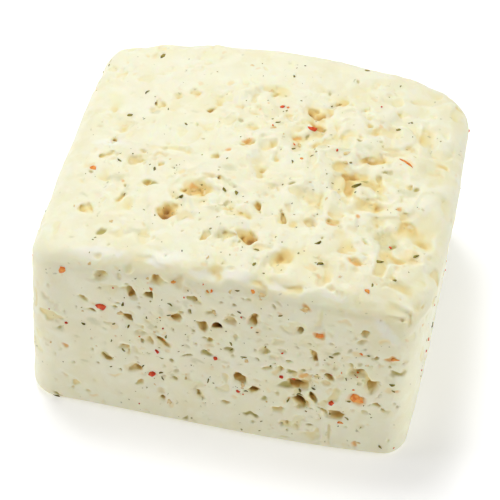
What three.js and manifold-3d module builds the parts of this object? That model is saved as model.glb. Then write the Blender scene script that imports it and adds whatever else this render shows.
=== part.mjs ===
// A block of fresh curd cheese with herbs and dried pepper, turned out of its mould, in millimetres.
// +X runs along the front face, +Y towards the back and +Z up. The origin is the middle of the flat base.
// The block is one solid: a crowned, round-edged block with the openings between its curds cut into it,
// and the pepper bits and herb flakes that stand proud of its skin fused on.
import * as THREE from "three";
import { mergeVertices } from "three/addons/utils/BufferGeometryUtils.js";
import Module from "manifold-3d";

// Driving dimensions of the block.
const WIDTH = 100;
const DEPTH = 81.6;
const HEIGHT = 54.7;
const SIDE_DROP = 4.2; // how much lower the top is at its left and right edges than along its middle
const BACK_DROP = 1.6; // how much lower the top is at its back edge
const FLARE = { front: 4.2, back: 1.3, left: 2.2, right: -2.8 }; // how far the base reaches past the top
const BOW = { front: 1.3, back: 4.8, left: 0.5, right: 1.5 }; // how far each side swells in its middle
const FRONT_SKEW = 0.9; // the front swells more towards its right end
const CORNER_RADIUS = { frontLeft: 7.2, frontRight: 5.3, backLeft: 7.5, backRight: 9.6 }; // the upright edges
const TOP_RADIUS = { front: 5, back: 5.5 };
const BASE_RADIUS = 2.4;
const LUMP = 0.16; // height of the soft unevenness of the skin
// Curds that swell out of the top and hollows between them: x, y, radius and height.
const SWELLS = [
  [1, -23, 5, 1.1],
  [-12, -33, 9, 0.5],
  [35, -17, 6, -0.9],
  [12, 25, 6, -0.5],
  [-30, -7, 5, -0.4],
  [27, 6, 5, -0.6],
  [20, -32, 8, 0.4],
  [43, -5, 4, 0.6],
  [38, 2, 5, -0.6],
  [36, -9, 4, 0.5],
  [33, -31, 7, 0.5],
  [-9, -6, 9, 0.4],
];

// The openings between curds that show best: place on the face (x and z on the front, x and y on the top),
// length, breadth, depth and tilt in degrees.
const FRONT_OPENINGS = [
  [-35.5, 39.5, 3.4, 1.4, 1.8, -32],
  [-30.5, 49, 3, 2.8, 1.2, 0],
  [-24, 35.5, 3, 2, 2.2, -12],
  [-23, 44.5, 3.6, 1.8, 1.8, 100],
  [-19, 45, 3, 2.2, 2.2, 0],
  [-16.5, 50, 4.4, 3.6, 2.4, -20],
  [-11, 39, 3.4, 2.8, 2.2, 0],
  [-4.5, 37, 2.4, 3, 2.8, 10],
  [-1, 38.5, 2.8, 2.4, 2.6, 15],
  [2.5, 41, 3.8, 2.4, 1.6, -30],
  [8, 43, 4.4, 2.6, 2.2, 80],
  [-15, 30, 4.8, 2.2, 2.6, -45],
  [-22.5, 18, 3.6, 2.6, 1.8, 10],
  [5, 21.5, 3.4, 3.2, 3.2, 0],
  [11, 33, 2.8, 2.4, 2.4, -30],
  [23.5, 34, 4.6, 1.4, 1.8, -65],
  [28, 27, 3.4, 1.9, 2.4, -40],
  [34, 30, 4.4, 3.6, 1.4, 20],
  [38, 26, 5.4, 4.2, 2.4, 70],
  [20, 23, 6, 3, 2.4, 12],
  [23.5, 19.5, 5.5, 1.4, 2.2, -70],
  [21, 16.5, 5.2, 3.2, 4, -30],
  [26.5, 15, 4.5, 1.2, 1.8, -50],
  [29.5, 13.5, 4.2, 3.4, 2.6, -35],
  [15.5, 12.5, 3.4, 2.4, 1.8, -5],
];
const TOP_OPENINGS = [
  [-18.5, -21.5, 5, 4.4, 4, 45],
  [2.5, -27, 5.6, 4.4, 3.2, -40],
  [3, -16.5, 3, 2.6, 2.8, 0],
  [-4, -18.5, 3.4, 1.8, 2.2, -45],
  [2, -3, 2.4, 2.2, 2.4, 60],
  [24, 0.5, 3.8, 2.6, 2.8, 20],
  [27, 6.5, 9, 3, 1.3, 35],
  [10.5, 21, 4.6, 3.6, 3, -30],
  [14.5, 25, 5.4, 2, 2, 35],
  [-4, 4.5, 4.4, 2.2, 1.8, 10],
  [-25.5, -13, 4, 2.6, 2, 0],
  [-38.5, -4.5, 4.6, 2, 1.8, 35],
  [-30, -5, 4.8, 3.2, 1.3, 0],
  [17.5, -18.5, 3.4, 2.8, 1.8, -45],
  [22.5, -16, 3.6, 1.8, 1.6, 10],
  [31, -28.5, 4.4, 1.8, 1.4, 0],
  [34.5, -17, 9, 5, 1.5, -50],
  [40, -11, 7, 2.4, 1, -48],
  [42, -24, 6, 3, 1, -20],
];

// Smears of curd that lie on the face: place, length, breadth, height and tilt in degrees.
const FRONT_SMEARS = [[40.5, 46, 12, 3, 0.6, -53]];

// Pepper bits and herb flakes that show best: place on the face, length and breadth.
const FRONT_BITS = [
  [-40.5, 47.5, 3.4, 2.2],
  [-31, 37.5, 2.8, 2.6],
  [-16.5, 25.5, 1.8, 1.2],
  [-18, 16.5, 3, 2.2],
  [24.5, 41.5, 2.8, 2.2],
  [34.5, 20.5, 3.6, 3.2],
  [28.5, 18, 2.4, 1.4],
  [43, 36, 2.8, 1.4],
];
const TOP_BITS = [
  [11.5, 13.5, 2.6, 1.6],
  [-41, -9.5, 2.4, 2],
  [35.5, -26.5, 2.6, 1.2],
  [44, -22, 2, 1],
  [20.5, -25, 2, 1.1],
  [6.5, -35.5, 1.8, 1],
  [35.5, -34.5, 2, 0.8],
  [-34, 36, 2.2, 1.3],
  [-34.5, 20.5, 2.2, 1],
  [-6, -13, 2.2, 1.2],
  [33, 20.5, 1.8, 1],
  [26, -3, 2.4, 1.6],
];

// The rest are strewn by rule: how many on each side, and their sizes.
const STREWN = {
  front: { openings: 10, bits: 8 },
  top: { openings: 20, bits: 12 },
  back: { openings: 12, bits: 8 },
  left: { openings: 9, bits: 6 },
  right: { openings: 9, bits: 6 },
};
const STREWN_LENGTH = [2.2, 4.6];
const STREWN_BREADTH = [0.45, 0.85]; // as a share of the length
const STREWN_DEPTH = [1.2, 2.2];
const OPENING_CLEARANCE = 4.5;
const BIT_LENGTH = [1.8, 3.0];
const BIT_BREADTH = [0.5, 0.9]; // as a share of the length
const BIT_CLEARANCE = 3.2;
const BIT_THICKNESS = 1.1;
const BIT_PROUD = 0.3; // how far a bit stands out of the skin
const SMEAR_THICKNESS = 2.4;
const FACET_UNEVENNESS = [0.78, 1.16]; // how far each corner of an opening or a bit is pulled in or out
const PLACE_SEED = 20;
const FACET_SEED = 21;

// The mesh of the block before it is cut: its lines are close together near each edge.
const EDGE_LINES = [0, 1.4, 3, 5.2, 8.4, 12.5];
const CORE_INSET = EDGE_LINES[3];
const CELL = 5.7; // between the edges

// Each face's direction, and the reach on it that marks are strewn over.
const FACES = {
  front: { normal: [0, -1, 0], halfWidth: 42, from: 6, to: 48 },
  back: { normal: [0, 1, 0], halfWidth: 40, from: 8, to: 44 },
  left: { normal: [-1, 0, 0], halfWidth: 32, from: 8, to: 44 },
  right: { normal: [1, 0, 0], halfWidth: 32, from: 8, to: 44 },
  top: { normal: [0, 0, 1], halfWidth: 42, from: -35, to: 34 },
};

const clamp = (x, low, high) => Math.min(Math.max(x, low), high);
const between = ([low, high], share) => low + (high - low) * share;

function smoothStep(low, high, x) {
  const t = clamp((x - low) / (high - low), 0, 1);
  return t * t * (3 - 2 * t);
}

// Random numbers from 0 to 1 that are the same on every run.
function randomFrom(seed) {
  let state = seed >>> 0;
  return () => {
    state = (state + 0x6d2b79f5) >>> 0;
    let t = Math.imul(state ^ (state >>> 15), state | 1);
    t ^= t + Math.imul(t ^ (t >>> 7), t | 61);
    return ((t ^ (t >>> 14)) >>> 0) / 4294967296;
  };
}

// How far the top swells out at a place, less than nothing in a hollow.
function swell(x, y) {
  const height = ([a, b, radius, most]) => most * Math.exp(-(((x - a) ** 2 + (y - b) ** 2) / radius ** 2));
  return SWELLS.map(height).reduce((total, part) => total + part, 0);
}

// The soft unevenness of the skin, gone at the base so that the block stands flat.
function lumps(x, y, z) {
  const wave =
    Math.sin(x / 4.3 + 0.9 * Math.sin(y / 6.1)) * Math.sin(y / 3.9 + z / 5.7 + 1.3) +
    0.7 * Math.sin(x / 2.7 + 2.1 + z / 3.1) * Math.sin(y / 2.6 - z / 4.3);
  const onTop = smoothStep(0.75 * HEIGHT, 0.9 * HEIGHT, z);
  return LUMP * wave * smoothStep(2, 9, z) + (onTop > 0 ? onTop * swell(x, y) : 0);
}

// Distance from a point to the skin of the uncut block, negative inside.
function blockDistance(x, y, z) {
  const halfX = WIDTH / 2;
  const halfY = DEPTH / 2;
  const drop = SIDE_DROP * (x / halfX) ** 2 + BACK_DROP * smoothStep(0, 1, y / halfY);
  const level = (z * HEIGHT) / (HEIGHT - drop);
  const lower = 1 - clamp(level / HEIGHT, -0.2, 1.2);
  const flareX = (x > 0 ? FLARE.right : -FLARE.left) * Math.min(Math.abs(x) / halfX, 1.2);
  const flareY = (y > 0 ? FLARE.back : -FLARE.front) * Math.min(Math.abs(y) / halfY, 1.2);
  let u = x - flareX * lower;
  let v = y - flareY * lower;
  const share = clamp(u / halfX, -1.3, 1.3);
  const bow = v > 0 ? BOW.back : BOW.front * (1 + FRONT_SKEW * share);
  v /= 1 + (bow / halfY) * (1 - share ** 2);
  u /= 1 + ((u > 0 ? BOW.right : BOW.left) / halfX) * (1 - clamp(v / halfY, -1.3, 1.3) ** 2);
  const corner = CORNER_RADIUS[(v > 0 ? "back" : "front") + (u > 0 ? "Right" : "Left")];
  const qx = Math.abs(u) - halfX + corner;
  const qy = Math.abs(v) - halfY + corner;
  const side = Math.hypot(Math.max(qx, 0), Math.max(qy, 0)) + Math.min(Math.max(qx, qy), 0) - corner;
  const topRadius = between([TOP_RADIUS.front, TOP_RADIUS.back], smoothStep(-0.6, 0.8, v / halfY));
  const radius = between([BASE_RADIUS, topRadius], smoothStep(0.2, 0.8, 1 - lower));
  const qs = side + radius;
  const qz = Math.abs(level - HEIGHT / 2) - HEIGHT / 2 + radius;
  const skin = Math.hypot(Math.max(qs, 0), Math.max(qz, 0)) + Math.min(Math.max(qs, qz), 0) - radius;
  return skin - lumps(x, y, z);
}

// The point where a ray that starts inside the block leaves it.
function skinPoint(start, direction, reach) {
  let low = 0;
  let high = reach;
  const point = new THREE.Vector3();
  for (let step = 0; step < 26; step++) {
    const middle = (low + high) / 2;
    point.copy(start).addScaledVector(direction, middle);
    if (blockDistance(point.x, point.y, point.z) < 0) low = middle;
    else high = middle;
  }
  return point;
}

// The skin's outward direction.
function skinNormal(p) {
  const e = 0.2;
  return new THREE.Vector3(
    blockDistance(p.x + e, p.y, p.z) - blockDistance(p.x - e, p.y, p.z),
    blockDistance(p.x, p.y + e, p.z) - blockDistance(p.x, p.y - e, p.z),
    blockDistance(p.x, p.y, p.z + e) - blockDistance(p.x, p.y, p.z - e),
  ).normalize();
}

// Places of the mesh lines along one axis.
function meshLines(low, high) {
  const edge = EDGE_LINES[EDGE_LINES.length - 1];
  const cells = Math.round((high - low - 2 * edge) / CELL);
  const inner = [];
  for (let i = 1; i < cells; i++) inner.push(low + edge + ((high - low - 2 * edge) * i) / cells);
  return [...EDGE_LINES.map((d) => low + d), ...inner, ...EDGE_LINES.map((d) => high - d).reverse()];
}

// The uncut block: a lattice on a box, with each point moved out to the skin along its own ray.
function blockGeometry() {
  const lows = [-WIDTH / 2, -DEPTH / 2, 0];
  const highs = [WIDTH / 2, DEPTH / 2, HEIGHT];
  const lines = lows.map((low, axis) => meshLines(low, highs[axis]));
  const last = lines.map((places) => places.length - 1);
  const vertices = [];
  const known = new Map();
  const vertex = (...index) => {
    const key = index.join();
    if (!known.has(key)) {
      const box = new THREE.Vector3(...index.map((i, axis) => lines[axis][i]));
      const core = new THREE.Vector3(
        ...index.map((i, axis) => clamp(lines[axis][i], lows[axis] + CORE_INSET, highs[axis] - CORE_INSET)),
      );
      const p = skinPoint(core, box.sub(core).normalize(), 3 * CORE_INSET);
      if (Math.abs(p.z) < 0.01) p.z = 0;
      known.set(key, vertices.push(p.x, p.y, p.z) / 3 - 1);
    }
    return known.get(key);
  };
  const triangles = [];
  for (let axis = 0; axis < 3; axis++) {
    const across = (axis + 1) % 3;
    const along = (axis + 2) % 3;
    for (const end of [0, last[axis]]) {
      for (let i = 0; i < last[across]; i++) {
        for (let j = 0; j < last[along]; j++) {
          const corner = (di, dj) => {
            const index = [0, 0, 0];
            index[axis] = end;
            index[across] = i + di;
            index[along] = j + dj;
            return vertex(...index);
          };
          const [a, b, c, d] = [corner(0, 0), corner(1, 0), corner(1, 1), corner(0, 1)];
          triangles.push(...(end ? [a, b, c, a, c, d] : [a, c, b, a, d, c]));
        }
      }
    }
  }
  const geometry = new THREE.BufferGeometry();
  geometry.setAttribute("position", new THREE.Float32BufferAttribute(vertices, 3));
  geometry.setIndex(triangles);
  return geometry;
}

// A frame on the skin: its outward direction, and two directions along it turned by tilt degrees.
function skinFrame(place, face, tilt) {
  const point = skinPoint(place, face, WIDTH);
  const out = skinNormal(point);
  const level = Math.abs(face.z) > 0.5 ? new THREE.Vector3(1, 0, 0) : new THREE.Vector3(-face.y, face.x, 0);
  level.addScaledVector(out, -level.dot(out)).normalize();
  const upward = new THREE.Vector3().crossVectors(out, level);
  const angle = THREE.MathUtils.degToRad(tilt);
  const along = level.clone().multiplyScalar(Math.cos(angle)).addScaledVector(upward, Math.sin(angle));
  return { point, out, along, across: new THREE.Vector3().crossVectors(out, along) };
}

// An uneven faceted lump with three half sizes, used for an opening and for a bit.
function facetedLump(frame, sizes, depthOfMiddle, random) {
  const geometry = new THREE.IcosahedronGeometry(1, 0);
  geometry.deleteAttribute("normal");
  geometry.deleteAttribute("uv");
  const lump = mergeVertices(geometry);
  const position = lump.getAttribute("position");
  const middle = frame.point.clone().addScaledVector(frame.out, -depthOfMiddle);
  const local = new THREE.Vector3();
  for (let i = 0; i < position.count; i++) {
    local.fromBufferAttribute(position, i).multiplyScalar(between(FACET_UNEVENNESS, random()));
    const world = middle
      .clone()
      .addScaledVector(frame.along, local.x * sizes[0])
      .addScaledVector(frame.across, local.y * sizes[1])
      .addScaledVector(frame.out, local.z * sizes[2]);
    position.setXYZ(i, world.x, world.y, world.z);
  }
  return lump;
}

// The place of a mark on a face, from its two coordinates on that face.
function placeOn(name, a, b) {
  if (name === "top") return new THREE.Vector3(a, b, HEIGHT / 2);
  if (name === "left" || name === "right") return new THREE.Vector3(0, a, b);
  return new THREE.Vector3(a, 0, b);
}

function opening(name, [a, b, length, breadth, depth, tilt], random) {
  const face = new THREE.Vector3(...FACES[name].normal);
  const frame = skinFrame(placeOn(name, a, b), face, tilt);
  return facetedLump(frame, [length / 2, breadth / 2, depth], 0, random);
}

function pepperBit(name, [a, b, length, breadth], random) {
  const face = new THREE.Vector3(...FACES[name].normal);
  const frame = skinFrame(placeOn(name, a, b), face, 180 * random());
  const sizes = [length / 2, breadth / 2, BIT_THICKNESS / 2];
  return facetedLump(frame, sizes, BIT_THICKNESS / 2 - BIT_PROUD, random);
}

function smear(name, [a, b, length, breadth, height, tilt], random) {
  const face = new THREE.Vector3(...FACES[name].normal);
  const frame = skinFrame(placeOn(name, a, b), face, tilt);
  const sizes = [length / 2, breadth / 2, SMEAR_THICKNESS / 2];
  return facetedLump(frame, sizes, SMEAR_THICKNESS / 2 - height, random);
}

// Places strewn over one face, each at least a clearance from every mark there so far.
function strew(name, count, taken, clearance, random) {
  const { halfWidth, from, to } = FACES[name];
  const found = [];
  while (found.length < count) {
    const place = [between([-halfWidth, halfWidth], random()), between([from, to], random())];
    const free = taken.every(([a, b]) => Math.hypot(a - place[0], b - place[1]) > clearance);
    if (!free) continue;
    taken.push(place);
    found.push(place);
  }
  return found;
}

function strewnOpening(place, random) {
  const length = between(STREWN_LENGTH, random() ** 2);
  const breadth = length * between(STREWN_BREADTH, random());
  return [...place, length, breadth, between(STREWN_DEPTH, random()), 180 * random()];
}

function strewnBit(place, random) {
  const length = between(BIT_LENGTH, random());
  return [...place, length, length * between(BIT_BREADTH, random())];
}

const wasm = await Module();
wasm.setup();

function solidOf(geometry) {
  return new wasm.Manifold(
    new wasm.Mesh({
      numProp: 3,
      vertProperties: Float32Array.from(geometry.getAttribute("position").array),
      triVerts: Uint32Array.from(geometry.index.array),
    }),
  );
}

function geometryOf(solid) {
  const mesh = solid.getMesh();
  const geometry = new THREE.BufferGeometry();
  geometry.setAttribute("position", new THREE.BufferAttribute(mesh.vertProperties, 3));
  geometry.setIndex(new THREE.BufferAttribute(mesh.triVerts, 1));
  return geometry;
}

// The whole block: cut by its openings, then joined with the bits that stand proud of it.
function cheese() {
  const placeRandom = randomFrom(PLACE_SEED);
  const facetRandom = randomFrom(FACET_SEED);
  const marks = {
    front: { openings: FRONT_OPENINGS, bits: FRONT_BITS },
    top: { openings: TOP_OPENINGS, bits: TOP_BITS },
  };
  const cuts = [];
  const additions = [];
  for (const [name, { openings, bits: bitCount }] of Object.entries(STREWN)) {
    const shown = marks[name] ?? { openings: [], bits: [] };
    const taken = [...shown.openings, ...shown.bits].map(([a, b]) => [a, b]);
    const openPlaces = strew(name, openings, taken, OPENING_CLEARANCE, placeRandom);
    const bitPlaces = strew(name, bitCount, taken, BIT_CLEARANCE, placeRandom);
    const moreOpenings = openPlaces.map((place) => strewnOpening(place, placeRandom));
    const moreBits = bitPlaces.map((place) => strewnBit(place, placeRandom));
    const allOpenings = [...shown.openings, ...moreOpenings];
    const allBits = [...shown.bits, ...moreBits];
    cuts.push(...allOpenings.map((row) => solidOf(opening(name, row, facetRandom))));
    additions.push(...allBits.map((row) => solidOf(pepperBit(name, row, facetRandom))));
  }
  additions.push(...FRONT_SMEARS.map((row) => solidOf(smear("front", row, facetRandom))));
  const block = solidOf(blockGeometry());
  const cut = block.subtract(wasm.Manifold.union(cuts));
  const whole = cut.add(wasm.Manifold.union(additions));
  return whole.decompose().sort((a, b) => b.volume() - a.volume())[0];
}

const material = new THREE.MeshStandardMaterial({ color: 0xf3efd3, roughness: 0.55, metalness: 0 });
const mesh = new THREE.Mesh(geometryOf(cheese()), material);
mesh.name = "cheese";

const group = new THREE.Group();
group.add(mesh);
export default group;
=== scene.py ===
"""A block of fresh curd cheese with herbs and dried pepper, dressed and lit in a studio.

Shapes are worked out in millimetres in the frame's axes and become metres when a mesh is made.
The block repeats the solid's own form, finer, with the openings between its curds and the relief of its skin.
"""

import itertools
import math

import bpy
import numpy as np
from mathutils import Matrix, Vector
from mathutils.bvhtree import BVHTree


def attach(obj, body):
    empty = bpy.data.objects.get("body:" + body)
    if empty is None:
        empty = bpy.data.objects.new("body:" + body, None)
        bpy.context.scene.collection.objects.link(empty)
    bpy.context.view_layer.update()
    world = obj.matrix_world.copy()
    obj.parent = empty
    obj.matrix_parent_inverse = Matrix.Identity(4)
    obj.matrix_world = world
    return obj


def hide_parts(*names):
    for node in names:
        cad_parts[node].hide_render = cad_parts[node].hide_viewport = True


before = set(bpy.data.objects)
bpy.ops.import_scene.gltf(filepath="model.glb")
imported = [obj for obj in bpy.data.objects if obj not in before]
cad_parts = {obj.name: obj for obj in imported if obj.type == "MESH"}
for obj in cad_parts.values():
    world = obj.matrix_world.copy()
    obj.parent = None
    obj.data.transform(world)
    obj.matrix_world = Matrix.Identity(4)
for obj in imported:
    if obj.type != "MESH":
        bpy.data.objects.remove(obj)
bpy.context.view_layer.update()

METRE = 0.001

# Form of the block, as in the solid.
WIDTH, DEPTH, HEIGHT = 100, 81.6, 54.7
SIDE_DROP = 4.2
BACK_DROP = 1.6
FLARE_FRONT, FLARE_BACK, FLARE_LEFT, FLARE_RIGHT = 4.2, 1.3, 2.2, -2.8
BOW_FRONT, BOW_BACK, BOW_LEFT, BOW_RIGHT = 1.3, 4.8, 0.5, 1.5
FRONT_SKEW = 0.9
FRONT_LEFT_RADIUS, FRONT_RIGHT_RADIUS, BACK_LEFT_RADIUS, BACK_RIGHT_RADIUS = 7.2, 5.3, 7.5, 9.6
TOP_RADIUS_FRONT, TOP_RADIUS_BACK, BASE_RADIUS = 5, 5.5, 2.4
LUMP = 0.16
# The worn upper corner at the right of the front: where it begins, how far it is worn back, and the runs in
# millimetres over which that sets in, slantwise along the front and from the top's y inwards.
WORN_X, WORN_Z = 40, 45.5
WORN_DEPTH = 1.9
WORN_RUN = (-1, 9)
WORN_INWARD = (-30, -38)
# Curds that swell out of the top and hollows between them: x, y, radius and height.
SWELLS = [
    (1, -23, 5, 1.1),
    (-12, -33, 9, 0.5),
    (35, -17, 6, -0.9),
    (12, 25, 6, -0.5),
    (-30, -7, 5, -0.4),
    (27, 6, 5, -0.6),
    (20, -32, 8, 0.4),
    (43, -5, 4, 0.6),
    (38, 2, 5, -0.6),
    (36, -9, 4, 0.5),
    (33, -31, 7, 0.5),
    (-9, -6, 9, 0.4),
]

# Openings that show best: place on the face, length, breadth, depth and tilt in degrees.
OPENINGS = {
    "front": [
        (-35.5, 39.5, 3.4, 1.4, 1.8, -32),
        (-30.5, 49, 3, 2.8, 1.2, 0),
        (-24, 35.5, 3, 2, 2.2, -12),
        (-23, 44.5, 3.6, 1.8, 1.8, 100),
        (-19, 45, 3, 2.2, 2.2, 0),
        (-16.5, 50, 4.4, 3.6, 2.4, -20),
        (-11, 39, 3.4, 2.8, 2.2, 0),
        (-4.5, 37, 2.4, 3, 2.8, 10),
        (-1, 38.5, 2.8, 2.4, 2.6, 15),
        (2.5, 41, 3.8, 2.4, 1.6, -30),
        (8, 43, 4.4, 2.6, 2.2, 80),
        (-15, 30, 4.8, 2.2, 2.6, -45),
        (-22.5, 18, 3.6, 2.6, 1.8, 10),
        (5, 21.5, 3.4, 3.2, 3.2, 0),
        (11, 33, 2.8, 2.4, 2.4, -30),
        (23.5, 34, 4.6, 1.4, 1.8, -65),
        (28, 27, 3.4, 1.9, 2.4, -40),
        (34, 30, 4.4, 3.6, 1.4, 20),
        (38, 26, 5.4, 4.2, 2.4, 70),
        (20, 23, 6, 3, 2.4, 12),
        (23.5, 19.5, 5.5, 1.4, 2.2, -70),
        (21, 16.5, 5.2, 3.2, 4, -30),
        (26.5, 15, 4.5, 1.2, 1.8, -50),
        (29.5, 13.5, 4.2, 3.4, 2.6, -35),
        (15.5, 12.5, 3.4, 2.4, 1.8, -5),
    ],
    "top": [
        (-18.5, -21.5, 5, 4.4, 4, 45),
        (2.5, -27, 5.6, 4.4, 3.2, -40),
        (3, -16.5, 3, 2.6, 2.8, 0),
        (-4, -18.5, 3.4, 1.8, 2.2, -45),
        (2, -3, 2.4, 2.2, 2.4, 60),
        (24, 0.5, 3.8, 2.6, 2.8, 20),
        (27, 6.5, 9, 3, 1.3, 35),
        (10.5, 21, 4.6, 3.6, 3, -30),
        (14.5, 25, 5.4, 2, 2, 35),
        (-4, 4.5, 4.4, 2.2, 1.8, 10),
        (-25.5, -13, 4, 2.6, 2, 0),
        (-38.5, -4.5, 4.6, 2, 1.8, 35),
        (-30, -5, 4.8, 3.2, 1.3, 0),
        (17.5, -18.5, 3.4, 2.8, 1.8, -45),
        (22.5, -16, 3.6, 1.8, 1.6, 10),
        (31, -28.5, 4.4, 1.8, 1.4, 0),
        (34.5, -17, 9, 5, 1.5, -50),
        (40, -11, 7, 2.4, 1, -48),
        (42, -24, 6, 3, 1, -20),
    ],
}

# Places of the bits that the solid has on the front and the top, which its strewn marks keep clear of.
SOLID_BITS = {
    "front": [
        (-40.5, 47.5), (-31, 37.5), (-16.5, 25.5), (-18, 16.5),
        (24.5, 41.5), (34.5, 20.5), (28.5, 18), (43, 36),
    ],
    "top": [
        (11.5, 13.5), (-41, -9.5), (35.5, -26.5), (44, -22), (20.5, -25), (6.5, -35.5),
        (35.5, -34.5), (-34, 36), (-34.5, 20.5), (-6, -13), (33, 20.5), (26, -3),
    ],
}

# How the solid strews its other marks: openings and bits on each face, in that order of drawing.
STREWN = {"front": (10, 8), "top": (20, 12), "back": (12, 8), "left": (9, 6), "right": (9, 6)}
STREWN_LENGTH, STREWN_BREADTH, STREWN_DEPTH = (2.2, 4.6), (0.45, 0.85), (1.2, 2.2)
OPENING_CLEARANCE, BIT_CLEARANCE = 4.5, 3.2
PLACE_SEED = 20

# Each face: its outward direction, and the reach on it that marks are strewn over.
FACES = {
    "front": ((0, -1, 0), 42, 6, 48),
    "back": ((0, 1, 0), 40, 8, 44),
    "left": ((-1, 0, 0), 32, 8, 44),
    "right": ((1, 0, 0), 32, 8, 44),
    "top": ((0, 0, 1), 42, -35, 34),
}

# Small openings that only this finer block has: how many on each face, and their sizes.
FINE_OPENINGS = {"front": 100, "top": 80, "back": 80, "left": 44, "right": 6}
FINE_LENGTH = (0.7, 2.3)
FINE_BREADTH = (0.5, 1)
FINE_DEPTH = (0.3, 0.7)
# Where they crowd: place and radius.
CROWDED = {
    "front": [(-15, 42, 14), (0, 38, 10), (26, 20, 12), (36, 30, 9), (-16, 24, 12), (8, 26, 12)],
    "top": [(-10, -20, 12), (4, -20, 10), (24, 0, 12), (34, -24, 14), (8, 14, 14), (-30, -8, 10)],
}
SPARSE = 0.25

# Openings: how tightly and how far their walls bend, how far they drift sideways as they go in, and their
# rims' rounding.
WALL_BENDS = ((1.6, 0.3), (3.2, 0.14))
SLANT = 0.55
RIM_TOP, RIM_SIDE = 0.45, 0.28
# How many times as deep as in the solid they are on a face, where that isn't once.
DEEPER = {"front": 1.3, "top": 0.65}

# How long an opening has to be for a deeper pocket, the share of those that have one, and the size of the
# scoop round a pocket as a share of the opening's.
POCKET_LENGTH, POCKET_SHARE = 1.8, 0.8
SCOOP = (1.1, 1.1, 0.65)

# Seeds of the draws for the openings, the stains and the bits.
OPENING_SEED, STAIN_SEED, BIT_SEED = 31, 61, 47

# Relief of the skin: how far apart its hills are in millimetres, kind by kind, and how far the noise is bent.
BEND_SIZE, BEND = 4.1, 1.3
ROUGH_SIZE, CRUMBLY_SIZE, LEDGE_SIZE = 15, 8, 11
MOUND_SIZE, KNOB_SIZE, GRAIN_SIZE = 6.2, 3.1, 1.6
HOLLOW_SIZE, CHIP_SIZE = 3.9, 2.3

# Grid that the surface is found on: its step, how far the block can reach past its driving sizes, the room
# round that, and the halvings that find a place on the skin.
STEP = 0.4
PAST_SIZES = (2.4, 6, 1.5)
MARGIN = 2.5
HALVINGS = 26
MOST_TRIANGLES = 190_000
# How many millimetres of depth a hollow of the skin counts for in the painted shade.
HOLLOW_SHADE_DEPTH = 0.5

# Stains where bits and whey lie just under the skin, and the lips' painted highlight: colour, how far they
# dip, less than nothing where they stand out, and how strong they are.
STAIN_AND_HIGHLIGHT_TONES = {
    "white": ((0.955, 0.935, 0.735), -0.35, (0.4, 0.9)),
    # Lips that stand out, painted whiter: a painted highlight where they catch the light.
    "lip_highlight": ((0.965, 0.95, 0.8), -0.75, (0.8, 0.9)),
    "grey": ((0.6, 0.6, 0.36), 0.06, (0.15, 0.45)),
    "beige": ((0.92, 0.76, 0.42), 0.15, (0.25, 0.7)),
    "tan": ((0.82, 0.69, 0.36), 0.4, (0.15, 0.55)),
    "olive": ((0.5, 0.43, 0.13), 0.4, (0.4, 1)),
    "amber": ((0.85, 0.48, 0.13), 0.25, (0.4, 0.9)),
}
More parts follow.
